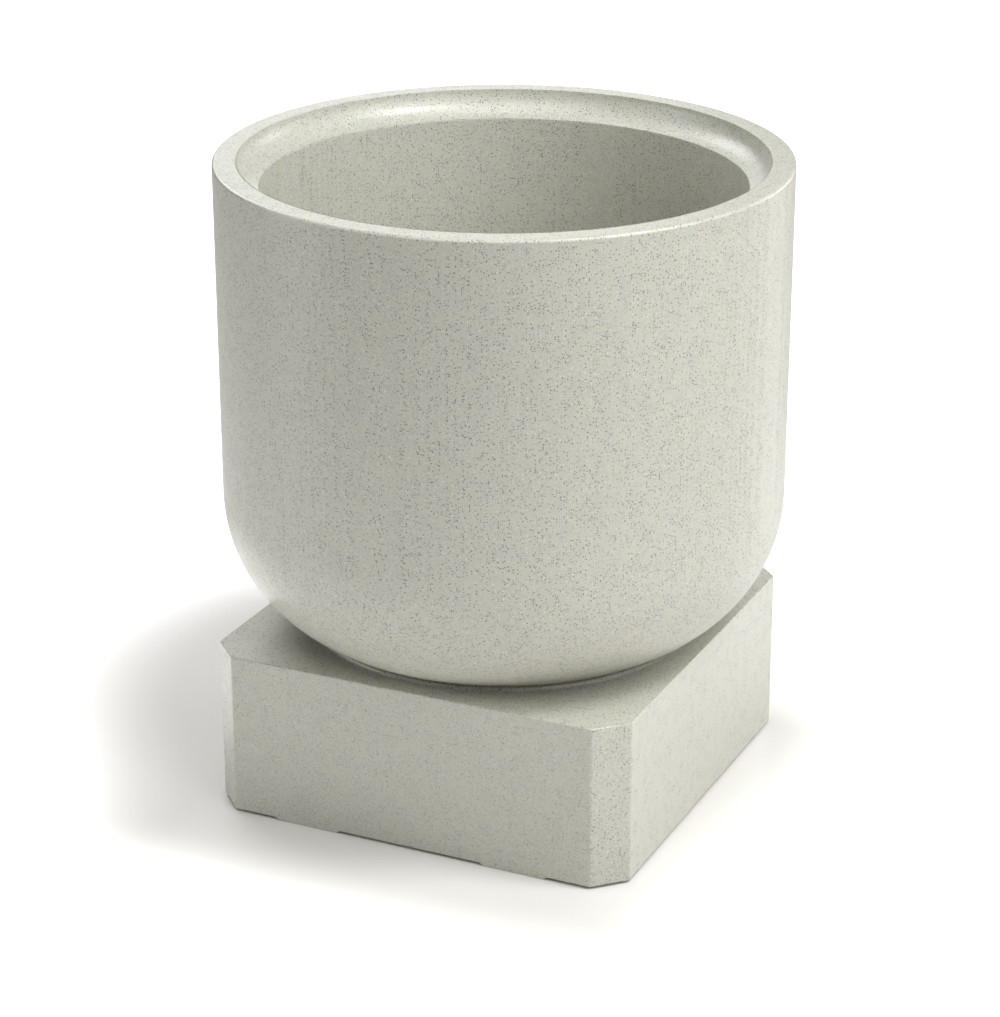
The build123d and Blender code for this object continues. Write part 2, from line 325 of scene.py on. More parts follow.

# %% [markdown]
# Two more effects are shared: a fine surface grain, which every moulded or rubber piece has, and
# a light dust that settles in patches on faces that look up.

# %% Build the grain and dust groups
grain_group, given, result = new_group(
    "surface_grain",
    {"Fine mm": 0.8, "Coarse mm": 14.0, "Coarse share": 0.5},
    {"Height": "NodeSocketFloat", "Fine": "NodeSocketFloat", "Patches": "NodeSocketFloat"},
)
place = add(grain_group, "ShaderNodeTexCoord").outputs["Object"]
fine_scale = math_node(grain_group, "DIVIDE", 1 / mm, given.outputs["Fine mm"])
coarse_scale = math_node(grain_group, "DIVIDE", 1 / mm, given.outputs["Coarse mm"])
fine = add(grain_group, "ShaderNodeTexNoise", {"Vector": place, "Scale": fine_scale, "Detail": 3.0})
coarse = add(
    grain_group, "ShaderNodeTexNoise", {"Vector": place, "Scale": coarse_scale, "Detail": 2.0}
)
height = math_node(
    grain_group,
    "MULTIPLY_ADD",
    coarse.outputs["Fac"],
    given.outputs["Coarse share"],
    fine.outputs["Fac"],
)
grain_group.links.new(height, result.inputs["Height"])
grain_group.links.new(fine.outputs["Fac"], result.inputs["Fine"])
grain_group.links.new(coarse.outputs["Fac"], result.inputs["Patches"])

dust_group, given, result = new_group(
    "settled_dust", {"Amount": 0.2, "Patch mm": 30.0}, {"Mask": "NodeSocketFloat"}
)
slide_off = 3.0  # the higher, the sooner dust leaves a sloping face
place = add(dust_group, "ShaderNodeTexCoord").outputs["Object"]
normal = add(dust_group, "ShaderNodeNewGeometry").outputs["Normal"]
up = add(dust_group, "ShaderNodeSeparateXYZ", {"Vector": normal}).outputs["Z"]
not_down = math_node(dust_group, "MAXIMUM", up, 0.0)
facing_up = math_node(dust_group, "POWER", not_down, slide_off)
patch_scale = math_node(dust_group, "DIVIDE", 1 / mm, given.outputs["Patch mm"])
inputs = {"Vector": place, "Scale": patch_scale, "Detail": 5.0}
patches = add(dust_group, "ShaderNodeTexNoise", inputs)
patchy = add(
    dust_group,
    "ShaderNodeMapRange",
    {"Value": patches.outputs["Fac"], "From Min": 0.35, "From Max": 0.7},
)
settled = math_node(dust_group, "MULTIPLY", facing_up, patchy.outputs["Result"])
dusty = math_node(dust_group, "MULTIPLY", settled, given.outputs["Amount"])
dust_group.links.new(dusty, result.inputs["Mask"])
print("shared groups:", [g.name for g in bpy.data.node_groups])

# %% [markdown]
# Each material is one Principled shader. Its constant values are set on the shader itself, where
# they are easy to find. Patterns only drive its colour, its roughness and its bump.

# %% Helpers that the materials share
def new_material(name, **sockets):
    """A material with a Principled shader, its constant values set on the shader itself."""
    material = bpy.data.materials.new(name)
    material.use_nodes = True
    shader = material.node_tree.nodes["Principled BSDF"]
    for socket, value in sockets.items():
        shader.inputs[socket.replace("_", " ")].default_value = value
    return material, material.node_tree, shader


def group_node(tree, group, **values):
    """One use of a shared group, with its own values."""
    node = add(tree, "ShaderNodeGroup", node_tree=group)
    for socket, value in values.items():
        node.inputs[socket.replace("_", " ")].default_value = value
    return node


def mix_colour(tree, factor, under, over):
    """under where factor is 0, over where it is 1. Either may be a colour or a link."""
    node = add(tree, "ShaderNodeMix", data_type="RGBA")
    for place, value in (("Factor_Float", factor), ("A_Color", under), ("B_Color", over)):
        socket = next(s for s in node.inputs if s.identifier == place)
        if isinstance(value, bpy.types.NodeSocket):
            tree.links.new(value, socket)
        else:
            socket.default_value = value
    return next(s for s in node.outputs if s.identifier == "Result_Color")


def spread(tree, value, low, high, to_low, to_high):
    """value between low and high, carried over to the range to_low to to_high."""
    inputs = {"Value": value, "From Min": low, "From Max": high}
    inputs |= {"To Min": to_low, "To Max": to_high}
    return add(tree, "ShaderNodeMapRange", inputs).outputs["Result"]


def end_material(tree, shader, colour, roughness, height, depth):
    """Drives the shader by a colour, a roughness and a bump of this depth."""
    bump = add(tree, "ShaderNodeBump", {"Height": height, "Distance": depth, "Strength": 1.0})
    tree.links.new(colour, shader.inputs["Base Color"])
    tree.links.new(roughness, shader.inputs["Roughness"])
    tree.links.new(bump.outputs["Normal"], shader.inputs["Normal"])


# %% [markdown]
# The moulded plastic is a pale grey that drifts between two tones and is freckled by a fine dark
# noise. Over it lie three layers of specks, each shifted so that the layers don't line up. As in a
# mixed powder, the specks crowd in some places and thin out in others. The surface is matt with a
# soft gloss.

# %% Make the stone-effect plastic
stone_pale = (0.62, 0.62, 0.54, 1)
stone_cool = (0.595, 0.603, 0.535, 1)
stone_freckle, freckle_strength = (0.35, 0.35, 0.3, 1), 0.38
speck_dark = (0.15, 0.14, 0.11, 1)
speck_tan = (0.47, 0.35, 0.2, 1)
speck_light = (0.86, 0.86, 0.8, 1)
speck_softness = 0.35
speck_layers = (
    # colour, strength, share of the cells, spacing mm, radius mm, shift
    (speck_light, 0.6, 0.5, 2.1, 0.75, 0.31),
    (speck_tan, 0.55, 0.4, 2.4, 0.75, 0.17),
    (speck_dark, 0.9, 0.6, 2.0, 0.84, 0.0),
)

stone_effect, tree, shader = new_material("stone_effect", IOR=1.5, Specular_IOR_Level=0.8)
grain = group_node(tree, grain_group, Fine_mm=0.9, Coarse_mm=16.0, Coarse_share=0.6)
drift = spread(tree, grain.outputs["Patches"], 0.4, 0.6, 0.0, 1.0)
freckles = spread(tree, grain.outputs["Fine"], 0.35, 0.65, 0.0, freckle_strength)
crowding = spread(tree, grain.outputs["Patches"], 0.35, 0.65, 0.7, 1.3)
colour = mix_colour(tree, drift, stone_pale, stone_cool)
colour = mix_colour(tree, freckles, colour, stone_freckle)
for paint, strength, share, spacing, radius, shift in speck_layers:
    specks = group_node(tree, specks_group, Spacing_mm=spacing, Radius_mm=radius, Shift=shift)
    specks.inputs["Softness mm"].default_value = speck_softness
    tree.links.new(math_node(tree, "MULTIPLY", crowding, share), specks.inputs["Share"])
    shown = math_node(tree, "MULTIPLY", specks.outputs["Mask"], strength)
    colour = mix_colour(tree, shown, colour, paint)
roughness = spread(tree, grain.outputs["Height"], 0.5, 1.1, 0.28, 0.4)
end_material(tree, shader, colour, roughness, grain.outputs["Height"], 0.05 * mm)
print("stone effect with", len(speck_layers), "layers of specks")


# %% [markdown]
# The gaskets are black rubber, which turns grey and dull outdoors. The drain is moulded in a
# black plastic with more gloss. Both are the same idea with other values, so one helper makes
# them: two dark tones in patches, dust on what faces up, and a grain in the gloss and the bump.

# %% Make the rubber and the drain plastic
def black_material(name, ior, grain_values, dust_values, tones, dust_colour, gloss, depth):
    """A black material with grain and dust. gloss is its least and greatest roughness."""
    material, tree, shader = new_material(name, IOR=ior)
    grain = group_node(tree, grain_group, **grain_values)
    dust = group_node(tree, dust_group, **dust_values)
    colour = mix_colour(tree, grain.outputs["Patches"], *tones)
    colour = mix_colour(tree, dust.outputs["Mask"], colour, dust_colour)
    roughness = spread(tree, grain.outputs["Height"], 0.4, 1.0, *gloss)
    end_material(tree, shader, colour, roughness, grain.outputs["Height"], depth)
    return material


black_rubber = black_material(
    "weathered_rubber",
    1.5,
    {"Fine_mm": 0.5, "Coarse_mm": 6.0, "Coarse_share": 0.4},
    {"Amount": 0.35, "Patch_mm": 8.0},
    tones=((0.016, 0.016, 0.017, 1), (0.03, 0.03, 0.031, 1)),
    dust_colour=(0.3, 0.28, 0.25, 1),
    gloss=(0.6, 0.8),
    depth=0.08 * mm,
)
drain_plastic = black_material(
    "moulded_drain_plastic",
    1.49,
    {"Fine_mm": 0.35, "Coarse_mm": 9.0, "Coarse_share": 0.3},
    {"Amount": 0.25, "Patch_mm": 12.0},
    tones=((0.03, 0.031, 0.034, 1), (0.05, 0.051, 0.055, 1)),
    dust_colour=(0.32, 0.3, 0.27, 1),
    gloss=(0.34, 0.52),
    depth=0.04 * mm,
)
print("black materials:", black_rubber.name, "and", drain_plastic.name)

# %% [markdown]
# The bolts and washers are stainless steel, brushed along their length: a noise squeezed across
# the grain and stretched along it. The inserts are turned brass with tarnish in small patches.

# %% Make the steel and the brass
stainless, tree, shader = new_material("brushed_stainless", Metallic=1.0)
across_brushing, along_brushing = 900, 90
place = add(tree, "ShaderNodeTexCoord").outputs["Object"]
stretched = (across_brushing, across_brushing, along_brushing)
stretch = add(tree, "ShaderNodeMapping", {"Vector": place, "Scale": stretched})
inputs = {"Vector": stretch.outputs[0], "Scale": 1.0, "Detail": 4.0}
brushing = add(tree, "ShaderNodeTexNoise", inputs)
smudge = add(tree, "ShaderNodeTexNoise", {"Vector": place, "Scale": 180.0, "Detail": 3.0})
colour = mix_colour(tree, smudge.outputs["Fac"], (0.5, 0.5, 0.48, 1), (0.66, 0.655, 0.64, 1))
roughness = spread(tree, brushing.outputs["Fac"], 0.3, 0.7, 0.24, 0.42)
end_material(tree, shader, colour, roughness, brushing.outputs["Fac"], 0.03 * mm)

insert_brass, tree, shader = new_material("turned_brass", Metallic=1.0)
place = add(tree, "ShaderNodeTexCoord").outputs["Object"]
tarnish = add(tree, "ShaderNodeTexNoise", {"Vector": place, "Scale": 260.0, "Detail": 4.0})
colour = mix_colour(tree, tarnish.outputs["Fac"], (0.72, 0.5, 0.22, 1), (0.55, 0.38, 0.17, 1))
roughness = spread(tree, tarnish.outputs["Fac"], 0.3, 0.7, 0.28, 0.5)
end_material(tree, shader, colour, roughness, tarnish.outputs["Fac"], 0.05 * mm)
print("materials:", [m.name for m in bpy.data.materials])

# %% [markdown]
# ## Turned shapes by rule
#
# The bowl, the seat, the washers and the drain bush are all turned shapes: one section carried
# round the Z axis. A Geometry Nodes tree holds that rule once. It takes the section as corners
# joined by edges, where each corner carries its own rounding radius, rounds the corners, and lays
# a grid round the axis whose rows follow the rounded section.

# %% Helpers for Geometry Nodes
def new_geometry_tree(name, inputs):
    """A Geometry Nodes tree with named inputs {name: (socket type, default)}."""
    tree = bpy.data.node_groups.new(name, "GeometryNodeTree")
    tree.interface.new_socket("Geometry", in_out="INPUT", socket_type="NodeSocketGeometry")
    for socket, (kind, default) in inputs.items():
        made = tree.interface.new_socket(socket, in_out="INPUT", socket_type=kind)
        if default is not None:
            made.default_value = default
    tree.interface.new_socket("Geometry", in_out="OUTPUT", socket_type="NodeSocketGeometry")
    return tree, add(tree, "NodeGroupInput"), add(tree, "NodeGroupOutput")


def run_tree(name, mesh, tree, **values):
    """The plain mesh that a Geometry Nodes tree makes of a mesh, as a new object."""
    source = show(name + "_source", mesh)
    modifier = source.modifiers.new("shape", "NODES")
    modifier.node_group = tree
    identifiers = {s.name: s.identifier for s in tree.interface.items_tree if s.in_out == "INPUT"}
    for socket, value in values.items():
        modifier[identifiers[socket.replace("_", " ")]] = value
    depsgraph = bpy.context.evaluated_depsgraph_get()
    made = bpy.data.meshes.new_from_object(source.evaluated_get(depsgraph))
    bpy.data.objects.remove(source)
    made.name = name
    return show(name, made)


# %% [markdown]
# The grid has one column for each step round the axis and one row for each point of the rounded
# section. A Sample Index node fetches the section's point for each row, and the column's angle
# carries it round. Where a corner asks for a thread, a zigzag of the height and the angle moves
# the point inwards, which gives a helix of the right pitch.

# %% Build the turning tree
turning, given, result = new_geometry_tree(
    "turning",
    {
        "Segments": ("NodeSocketInt", 96),
        "Thread Pitch": ("NodeSocketFloat", 2.5 * mm),
        "Material": ("NodeSocketMaterial", None),
    },
)


def section_value(name, kind):
    """A value that each corner of the section carries."""
    node = add(turning, "GeometryNodeInputNamedAttribute", {"Name": name}, data_type=kind)
    return node.outputs["Attribute"]


section = add(turning, "GeometryNodeMeshToCurve", {"Mesh": given.outputs["Geometry"]})
rounded = add(
    turning,
    "GeometryNodeFilletCurve",
    {
        "Curve": section.outputs["Curve"],
        "Count": section_value("steps", "INT"),
        "Radius": section_value("rounding", "FLOAT"),
    },
    mode="POLY",
).outputs["Curve"]
size = add(turning, "GeometryNodeAttributeDomainSize", {"Geometry": rounded}, component="CURVE")
rows = size.outputs["Point Count"]
grid = add(
    turning,
    "GeometryNodeMeshGrid",
    {
        "Size X": 1.0,
        "Size Y": 1.0,
        "Vertices X": math_node(turning, "ADD", given.outputs["Segments"], 1.0),
        "Vertices Y": math_node(turning, "ADD", rows, 1.0),
    },
)
grid_place = add(turning, "GeometryNodeInputPosition").outputs[0]
across = add(turning, "ShaderNodeSeparateXYZ", {"Vector": grid_place})
share_round = math_node(turning, "ADD", across.outputs["X"], 0.5)
angle = math_node(turning, "MULTIPLY", share_round, 2 * pi)
share_along = math_node(turning, "ADD", across.outputs["Y"], 0.5)
row = math_node(turning, "ROUND", math_node(turning, "MULTIPLY", share_along, rows))
row = math_node(turning, "MODULO", row, rows)


def at_row(value, kind):
    """What the rounded section carries at this row of the grid."""
    inputs = {"Geometry": rounded, "Value": value, "Index": row}
    return add(turning, "GeometryNodeSampleIndex", inputs, data_type=kind).outputs["Value"]


point = add(turning, "ShaderNodeSeparateXYZ", {"Vector": at_row(grid_place, "FLOAT_VECTOR")})
turns_up = math_node(turning, "DIVIDE", point.outputs["Z"], given.outputs["Thread Pitch"])
phase = math_node(turning, "SUBTRACT", turns_up, share_round)
ridge = math_node(turning, "PINGPONG", math_node(turning, "MULTIPLY", phase, 2.0), 1.0)
thread_depth = at_row(section_value("thread", "FLOAT"), "FLOAT")
groove = math_node(turning, "MULTIPLY", thread_depth, math_node(turning, "SUBTRACT", ridge, 1.0))
radius = math_node(turning, "ADD", point.outputs["X"], groove)
turned = add(
    turning,
    "ShaderNodeCombineXYZ",
    {
        "X": math_node(turning, "MULTIPLY", radius, math_node(turning, "COSINE", angle)),
        "Y": math_node(turning, "MULTIPLY", radius, math_node(turning, "SINE", angle)),
        "Z": point.outputs["Z"],
    },
)


def end_tree(tree, geometry, material, result):
    """Ends a tree with real geometry in its material."""
    realized = add(tree, "GeometryNodeRealizeInstances", {"Geometry": geometry})
    inputs = {"Geometry": realized.outputs["Geometry"], "Material": material}
    painted = add(tree, "GeometryNodeSetMaterial", inputs)
    tree.links.new(painted.outputs["Geometry"], result.inputs["Geometry"])


inputs = {"Geometry": grid.outputs["Mesh"], "Position": turned.outputs[0]}
placed = add(turning, "GeometryNodeSetPosition", inputs)
inputs = {"Geometry": placed.outputs["Geometry"], "Distance": 0.001 * mm}
closed = add(turning, "GeometryNodeMergeByDistance", inputs)
end_tree(turning, closed.outputs["Geometry"], given.outputs["Material"], result)
print("turning tree with", len(turning.nodes), "nodes")


# %% [markdown]
# A section is written as a list of corners. The next helpers turn it, close the result so that
# every face looks outwards, cut and join pieces, and give the mesh its smooth shading. stand_in
# says which measured nodes a finished piece takes the place of, and what it moves with.

# %% Helpers that turn a section and finish its mesh
def corner(radius, height, rounding=0.0, steps=1, thread=0.0):
    """One corner of a section: its place, its rounding, and how deep a thread is cut there."""
    return radius, height, rounding, steps, thread


def section_mesh(name, corners):
    """A closed section through the corners, as a mesh of edges."""
    mesh = bpy.data.meshes.new(name)
    radii, heights, roundings, steps, threads = zip(*corners)
    count = len(corners)
    edges = [(number, (number + 1) % count) for number in range(count)]
    mesh.from_pydata([(x, 0, z) for x, z in zip(radii, heights)], edges, [])
    for key, kind, values in (
        ("rounding", "FLOAT", roundings),
        ("steps", "INT", steps),
        ("thread", "FLOAT", threads),
    ):
        mesh.attributes.new(key, kind, "POINT").data.foreach_set("value", values)
    return mesh


def face_outwards(piece):
    """Closes doubles and turns every face outwards."""
    work = bmesh.new()
    work.from_mesh(piece.data)
    bmesh.ops.remove_doubles(work, verts=work.verts, dist=0.001 * mm)
    bmesh.ops.dissolve_degenerate(work, edges=work.edges, dist=0.001 * mm)
    loose = [edge for edge in work.edges if not edge.link_faces]
    bmesh.ops.delete(work, geom=loose, context="EDGES")
    bmesh.ops.recalc_face_normals(work, faces=work.faces)
    open_edges = sum(not edge.is_manifold for edge in work.edges)
    work.to_mesh(piece.data)
    work.free()
    print(piece.name, len(piece.data.polygons), "faces,", open_edges, "open edges")
    return piece


def turn(name, corners, material, segments=96):
    """A section turned round the Z axis, as a closed mesh."""
    values = {"Segments": segments, "Material": material}
    return face_outwards(run_tree(name, section_mesh(name, corners), turning, **values))


def carve(piece, tool, operation="DIFFERENCE"):
    """Cuts the tool out of the piece, or joins it on, and puts the tool away."""
    modifier = piece.modifiers.new("carve", "BOOLEAN")
    modifier.operation = operation
    modifier.solver = "EXACT"
    modifier.object = tool
    apply_modifiers(piece)
    bpy.data.objects.remove(tool)


def apply_modifiers(piece):
    """Makes the piece's modifiers part of its mesh."""
    depsgraph = bpy.context.evaluated_depsgraph_get()
    made = bpy.data.meshes.new_from_object(piece.evaluated_get(depsgraph))
    made.name = piece.name
    piece.modifiers.clear()
    piece.data = made


def smooth(piece, sharp_degrees=40):
    """Smooth shading that keeps flat faces flat, and sharp edges sharp."""
    piece.data.shade_smooth()
    piece.data.set_sharp_from_angle(angle=radians(sharp_degrees))
    weighted = piece.modifiers.new("flat_faces_first", "WEIGHTED_NORMAL")
    weighted.mode = "FACE_AREA"
    weighted.keep_sharp = True
    weighted.weight = 100
    apply_modifiers(piece)


def stand_in(piece, body, slot, *replaced):
    """The piece rides on a body and stands for the named nodes."""
    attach(piece, body)
    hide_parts(*replaced)


# %% [markdown]
# ## The bowl
#
# The bowl's section has nine corners. The large roundings are the lower bend outside, the floor's
# bend inside and the hollow shoulder under the rim. The small ones soften the rim, the lip and
# the foot, and catch the light as thin bright lines.

# %% Turn the bowl
bowl_low, bowl_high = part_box("bowl")
bowl_radius = bowl_high.y
rim_z = bowl_high.z
foot_z = bowl_low.z
wall_depth = 47 * mm
floor_depth = 30.5 * mm
rim_flat = 24.7 * mm
outer_bend = 161 * mm
inner_bend = 114 * mm
shoulder_turn = radians(78)
foot_radius = 210 * mm
sleeve_radius = 17.5 * mm
sleeve_edge, foot_edge, rim_edge, inner_edge, lip = 0.5 * mm, 0.8 * mm, 3.5 * mm, 1.5 * mm, 2 * mm

opening_radius = bowl_radius - wall_depth
floor_z = foot_z + floor_depth
shoulder_radius = bowl_radius - rim_flat
shoulder_width = shoulder_radius - opening_radius
shoulder_bend = shoulder_width / (1 - cos(shoulder_turn))
shoulder_corner_z = rim_z - shoulder_bend * tan(shoulder_turn / 2)
lip_z = rim_z - shoulder_bend * sin(shoulder_turn)
bend_centre = bowl_radius - outer_bend
foot_rise = (foot_radius - bend_centre) / (outer_bend**2 - (foot_radius - bend_centre) ** 2) ** 0.5
bend_corner_z = foot_z + (bowl_radius - foot_radius) * foot_rise

bowl_section = [
    corner(sleeve_radius, foot_z, sleeve_edge, 2),
    corner(foot_radius, foot_z, foot_edge, 3),
    corner(bowl_radius, bend_corner_z, outer_bend, 40),
    corner(bowl_radius, rim_z, rim_edge, 10),
    corner(shoulder_radius, rim_z, inner_edge, 6),
    corner(shoulder_radius, shoulder_corner_z, shoulder_bend, 20),
    corner(opening_radius, lip_z, lip, 8),
    corner(opening_radius, floor_z, inner_bend, 40),
    corner(sleeve_radius, floor_z, sleeve_edge, 2),
]
bowl = turn("bowl_moulding", bowl_section, stone_effect, segments=288)

# %% [markdown]
# The bolts, washers and holes repeat on a circle round the axis. One tree copies a piece there by
# count and radius, and can give every copy a chance turn of its own, because no two bolts stop at
# the same angle. Its seed is fixed, so that the result is the same each time.

# %% Build the copying tree
copying, given, result = new_geometry_tree(
    "copies_round_axis",
    {
        "Count": ("NodeSocketInt", 4),
        "Circle": ("NodeSocketFloat", 0.1),
        "First Angle": ("NodeSocketFloat", 0.0),
        "Turn Limit": ("NodeSocketFloat", 0.0),
        "Seed": ("NodeSocketInt", 0),
        "Material": ("NodeSocketMaterial", None),
    },
)
points = add(copying, "GeometryNodePoints", {"Count": given.outputs["Count"]})
number = add(copying, "GeometryNodeInputIndex").outputs["Index"]
step = math_node(copying, "DIVIDE", 2 * pi, given.outputs["Count"])
angle = math_node(copying, "MULTIPLY_ADD", number, step, given.outputs["First Angle"])
spot = add(copying, "ShaderNodeCombineXYZ")
for axis, wave in (("X", "COSINE"), ("Y", "SINE")):
    run = math_node(copying, "MULTIPLY", given.outputs["Circle"], math_node(copying, wave, angle))
    copying.links.new(run, spot.inputs[axis])
inputs = {"Geometry": points.outputs[0], "Position": spot.outputs[0]}
spread_out = add(copying, "GeometryNodeSetPosition", inputs)
chance = add(copying, "FunctionNodeRandomValue", {"Seed": given.outputs["Seed"]}, data_type="FLOAT")
own_turn = math_node(copying, "MULTIPLY", chance.outputs[1], given.outputs["Turn Limit"])
turn_by = add(copying, "ShaderNodeCombineXYZ", {"Z": own_turn})
copies = add(
    copying,
    "GeometryNodeInstanceOnPoints",
    {
        "Points": spread_out.outputs["Geometry"],
        "Instance": given.outputs["Geometry"],
        "Rotation": turn_by.outputs[0],
    },
)
end_tree(copying, copies.outputs["Instances"], given.outputs["Material"], result)
print("copying tree with", len(copying.nodes), "nodes")


# %% [markdown]
# Holes are cut with stepped round cutters. They are turned with the same tree, from the radius
# and height of each step, and reach a little past the faces they cut, so that no face of a cutter
# lies in a face of the piece.

# %% Helpers for copies and cutters
def around(piece, count, circle, first_angle=0.0, turn_limit=0.0, seed=0):
    """Copies of a piece on a circle round the Z axis, as one mesh."""
    name, mesh = piece.name, piece.data
    material = mesh.materials[0]
    bpy.data.objects.remove(piece)
    values = {"Count": count, "Circle": circle, "First_Angle": first_angle}
    values |= {"Turn_Limit": turn_limit, "Seed": seed, "Material": material}
    return run_tree(name, mesh, copying, **values)


def cutter(name, steps_up, segments=64):
    """A stepped round cutter about the Z axis, from (radius, height) corners."""
    axis_low, axis_high = steps_up[0][1], steps_up[-1][1]
    places = [(0, axis_low)] + list(steps_up) + [(0, axis_high)]
    return turn(name, [corner(x, z) for x, z in places], stone_effect, segments)


# %% [markdown]
# The bowl has four counterbored holes for the bolts and, half way between two of them, a recess
# for the plug of the breather hole that the moulding leaves.

# %% Cut the bowl's holes
bolt_count = 4
seal_washer_radius = 12 * mm
bolt_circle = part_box("seal_washers")[1].y - seal_washer_radius
recess_radius = 14 * mm
recess_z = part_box("seal_washers")[0].z
bolt_hole_radius = 5.5 * mm
flare = 0.8 * mm
outside = 5 * mm

bolt_cutter = cutter(
    "bolt_cutter",
    [
        (bolt_hole_radius, foot_z - outside),
        (bolt_hole_radius, recess_z),
        (recess_radius, recess_z),
        (recess_radius, floor_z - flare),
        (recess_radius + flare, floor_z),
        (recess_radius + flare, floor_z + outside),
    ],
)
carve(bowl, around(bolt_cutter, bolt_count, bolt_circle))

vent_head, vent_hole, vent_recess = 8 * mm, 4 * mm, 2 * mm


def cut_vent(piece, name, low, underside, circle, angle):
    """A breather hole with its recess, cut up into a piece from below."""
    steps_up = [
        (vent_head, low),
        (vent_head, underside + vent_recess),
        (vent_hole, underside + vent_recess),
        (vent_hole, underside + 3 * outside),
    ]
    carve(piece, around(cutter(name, steps_up, 48), 1, circle, radians(angle)))


cut_vent(bowl, "vent_cutter", foot_z - outside, foot_z, bolt_circle, 45)
face_outwards(bowl)
smooth(bowl)
stand_in(bowl, "root", "stone_effect_plastic", "bowl")

# %% [markdown]
# ## The plinth
#
# The plinth isn't turned: it is a block. Its front outline, which steps down to the two skids,
# is carried from front to back, four planes trim the upright corners, and a bevel rounds each
# outside edge by its own weight. The seat is turned and joined on, and the well, the ring's groove
# and the bolt holes are cut out.

# %% Shape the block
plinth_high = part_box("plinth")[1]
plinth_half = plinth_high.x
seat_z = plinth_high.z
deck_z = seat_z - 4 * mm
skid_height = 3 * mm
skid_centre, skid_half = 120 * mm, 35 * mm
corner_cut = 31 * mm
upright_rounding, deck_rounding, bottom_rounding = 2 * mm, 1.5 * mm, 1 * mm

outline = [
    (plinth_half, skid_height),
    (plinth_half, deck_z),
    (-plinth_half, deck_z),
    (-plinth_half, skid_height),
]
near, far = skid_centre - skid_half, skid_centre + skid_half
for start, end in ((-far, -near), (near, far)):
    outline += [(start - skid_height, skid_height), (start, 0)]
    outline += [(end, 0), (end + skid_height, skid_height)]

block = bmesh.new()
front = [block.verts.new((x, -plinth_half, z)) for x, z in outline]
face = block.faces.new(front)
pushed = bmesh.ops.extrude_face_region(block, geom=[face])
back = [v for v in pushed["geom"] if isinstance(v, bmesh.types.BMVert)]
bmesh.ops.translate(block, verts=back, vec=(0, 2 * plinth_half, 0))
for sx in (-1, 1):
    for sy in (-1, 1):
        outward = Vector((sx, sy, 0)).normalized()
        on_plane = Vector((sx * plinth_half, sy * (plinth_half - corner_cut), 0))
        everything = block.verts[:] + block.edges[:] + block.faces[:]
        cut = bmesh.ops.bisect_plane(
            block, geom=everything, plane_co=on_plane, plane_no=outward, clear_outer=True
        )
        rim_edges = [e for e in cut["geom_cut"] if isinstance(e, bmesh.types.BMEdge)]
        bmesh.ops.holes_fill(block, edges=rim_edges)
bmesh.ops.remove_doubles(block, verts=block.verts, dist=0.01 * mm)
bmesh.ops.recalc_face_normals(block, faces=block.faces)
print("plinth block", len(block.faces), "faces before its edges are rounded")

# %% [markdown]
# A moulding has no sharp edge. The upright edges are the roundest, the deck's edge comes next and
# the bottom edges, which no hand reaches, are the least round. The skids' long edges stay as they
# are.

# %% Round the block's edges
weights = block.edges.layers.float.new("bevel_weight_edge")
for edge in block.edges:
    ends = [v.co for v in edge.verts]
    along = (ends[1] - ends[0]).normalized()
    on_outside = any(abs(face.normal.z) < 0.01 for face in edge.link_faces)
    if abs(along.z) > 0.99:
        edge[weights] = 1.0
    elif min(c.z for c in ends) > deck_z - mm:
        edge[weights] = deck_rounding / upright_rounding
    elif max(c.z for c in ends) < skid_height + mm and on_outside:
        edge[weights] = bottom_rounding / upright_rounding
plinth_mesh = bpy.data.meshes.new("plinth_moulding")
block.to_mesh(plinth_mesh)
block.free()
plinth_mesh.materials.append(stone_effect)
plinth = show("plinth_moulding", plinth_mesh)

bevel = plinth.modifiers.new("rounded_edges", "BEVEL")
bevel.limit_method = "WEIGHT"
bevel.width = upright_rounding
bevel.segments = 6
apply_modifiers(plinth)
print("plinth block", len(plinth.data.polygons), "faces")

# %% [markdown]
# The seat is a round disc that stands 4 mm above the deck, and the gasket lies in a groove in its
# top. Under the middle an open well gives room for the nut below the drain.

# %% Join the seat and cut the well
gasket_low, gasket_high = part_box("seat_gasket")
gasket_outer = gasket_high.y
gasket_inner = gasket_outer - 20 * mm
seat_radius = plinth_half - 23.5 * mm
groove_gap = 0.3 * mm
well_radius = 30 * mm
roof_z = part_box("drain_backnut_washer")[1].z
insert_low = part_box("threaded_inserts")[0]
insert_radius = 8.05 * mm
seat_edge = 3.2 * mm
vent_circle = 120 * mm

seat = turn(
    "seat",
    [
        corner(0, deck_z - outside),
        corner(seat_radius, deck_z - outside),
        corner(seat_radius, seat_z, seat_edge, 10),
        corner(0, seat_z),
    ],
    stone_effect,
    segments=288,
)
carve(plinth, seat, "UNION")
well_cutter = cutter(
    "well_cutter",
    [
        (well_radius, -outside),
        (well_radius, roof_z),
        (sleeve_radius, roof_z),
        (sleeve_radius, seat_z + outside),
    ],
    96,
)
carve(plinth, well_cutter)
groove_cutter = turn(
    "groove_cutter",
    [
        corner(gasket_inner - groove_gap, gasket_low.z),
        corner(gasket_outer + groove_gap, gasket_low.z),
        corner(gasket_outer + groove_gap, seat_z + outside),
        corner(gasket_inner - groove_gap, seat_z + outside),
    ],
    stone_effect,
    segments=192,
)
carve(plinth, groove_cutter)
insert_cutter = cutter(
    "insert_cutter", [(insert_radius, insert_low.z), (insert_radius, seat_z + outside)], 48
)
carve(plinth, around(insert_cutter, bolt_count, bolt_circle))
cut_vent(plinth, "underside_cutter", -outside, skid_height, vent_circle, 90)
face_outwards(plinth)
smooth(plinth)
stand_in(plinth, "root", "stone_effect_plastic", "plinth")

# %% [markdown]
# ## The drain
#
# The drain bush is a flanged tube, moulded in black plastic, with a thread outside for the nut
# and one inside for the plug. A thread is a turned shape too: the tree cuts a helical groove
# wherever the section's corners carry a thread depth, so both threads are real geometry.

# %% Turn the drain bush
thread_pitch = 2.5 * mm


